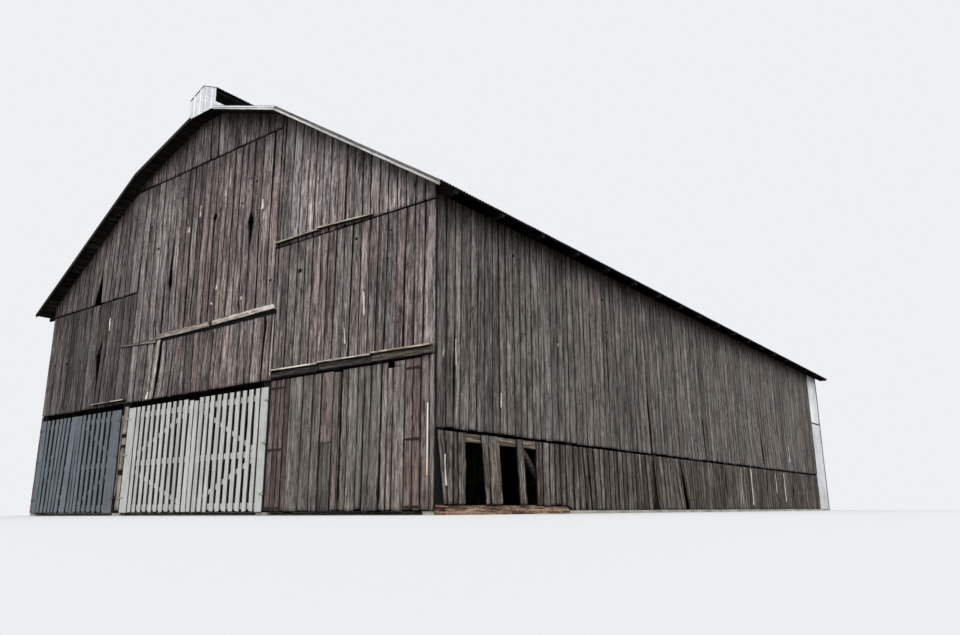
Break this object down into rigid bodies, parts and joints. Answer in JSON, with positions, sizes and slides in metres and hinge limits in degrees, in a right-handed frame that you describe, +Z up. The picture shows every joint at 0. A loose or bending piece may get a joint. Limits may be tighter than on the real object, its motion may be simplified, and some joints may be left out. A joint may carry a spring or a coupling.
{
  "type": "gambrel-roofed plank barn",
  "caption": "Weathered plank barn with a gambrel metal roof, a ridge ventilator and hinged pairs of plank doors and slatted gates across its front gable.",
  "frame": {"origin": "centre of the plan at ground level, under the middle of the footing", "axes": "+X to the right seen from the front, +Y from the front gable to the rear, +Z up"},
  "size_m": [12.92, 22.59, 8.6894],
  "materials": {
    "front_boards": "weathered",
    "side_boards": "weathered",
    "base_boards": "weathered",
    "frame_timber": "weathered",
    "sill_timber": "weathered",
    "door_boards": "weathered",
    "white_paint": "weathered paint",
    "blue_paint": "weathered paint",
    "new_boards": "weathered",
    "roof_boards": "weathered",
    "rake_boards": "weathered",
    "roof_sheet": "galvanised, dull",
    "pale_sheet": "dull",
    "hinge_iron": "rusty",
    "rod_paint": "satin",
    "concrete": "rough concrete"
  },
  "bodies": {
    "barn": {"footing": "concrete", "sill_timber": "sill_timber", "outer_posts": "frame_timber", "inner_posts": "frame_timber", "wall_plates": "frame_timber", "roof_purlins": "frame_timber", "tie_beams": "frame_timber", "wall_girts": "new_boards", "header_beams": "frame_timber", "lower_rafters": "frame_timber", "upper_rafters": "frame_timber", "front_wall_left": "front_boards", "front_wall_middle": "front_boards", "front_wall_right": "front_boards", "front_gable_left": "front_boards", "front_gable_right": "front_boards", "front_gable_peak": "front_boards", "corner_boards": "front_boards", "side_wall_right": "side_boards", "side_wall_right_base": "base_boards", "side_wall_right_end": "pale_sheet", "side_wall_left": "side_boards", "rear_wall": "side_boards", "rear_gable": "side_boards", "roof_boards_lower": "roof_boards", "roof_boards_upper": "roof_boards", "roof_sheets_lower": "roof_sheet", "roof_sheets_upper": "roof_sheet", "rake_boards": "rake_boards", "ventilator_frame": "frame_timber", "ventilator_panels": "pale_sheet", "ventilator_roof": "roof_sheet", "header_shelf": "new_boards", "shelf_boards": "new_boards", "corner_rod": "rod_paint", "door_pintles": "hinge_iron"},
    "plank_door_left_leaf": {"plank_door_left": "door_boards", "plank_door_left_straps": "hinge_iron"},
    "plank_door_right_leaf": {"plank_door_right": "door_boards", "plank_door_right_straps": "hinge_iron"},
    "white_gate_left_leaf": {"white_gate_left": "white_paint", "white_gate_left_straps": "hinge_iron"},
    "white_gate_right_leaf": {"white_gate_right": "white_paint", "white_gate_right_straps": "hinge_iron"},
    "blue_gate_left_leaf": {"blue_gate_left": "blue_paint", "blue_gate_left_straps": "hinge_iron"},
    "blue_gate_right_leaf": {"blue_gate_right": "blue_paint", "blue_gate_right_straps": "hinge_iron"}
  },
  "joints": [
    {"name": "plank_door_left_hinge", "type": "hinge", "parent": "barn", "child": "plank_door_left_leaf", "pos_m": [2.394, -10.994, 1.1], "axis": [0, 0, -1], "range_deg": [0, 90]},
    {"name": "plank_door_right_hinge", "type": "hinge", "parent": "barn", "child": "plank_door_right_leaf", "pos_m": [5.8505, -10.994, 1.1], "axis": [0, 0, 1], "range_deg": [0, 120]},
    {"name": "white_gate_left_hinge", "type": "hinge", "parent": "barn", "child": "white_gate_left_leaf", "pos_m": [-2.1795, -10.994, 1.1], "axis": [0, 0, -1], "range_deg": [0, 90]},
    {"name": "white_gate_right_hinge", "type": "hinge", "parent": "barn", "child": "white_gate_right_leaf", "pos_m": [2.366, -10.994, 1.1], "axis": [0, 0, 1], "range_deg": [0, 90]},
    {"name": "blue_gate_left_hinge", "type": "hinge", "parent": "barn", "child": "blue_gate_left_leaf", "pos_m": [-6.0265, -10.994, 1.1], "axis": [0, 0, -1], "range_deg": [0, 120]},
    {"name": "blue_gate_right_hinge", "type": "hinge", "parent": "barn", "child": "blue_gate_right_leaf", "pos_m": [-2.4605, -10.994, 1.1], "axis": [0, 0, 1], "range_deg": [0, 90]}
  ]
}
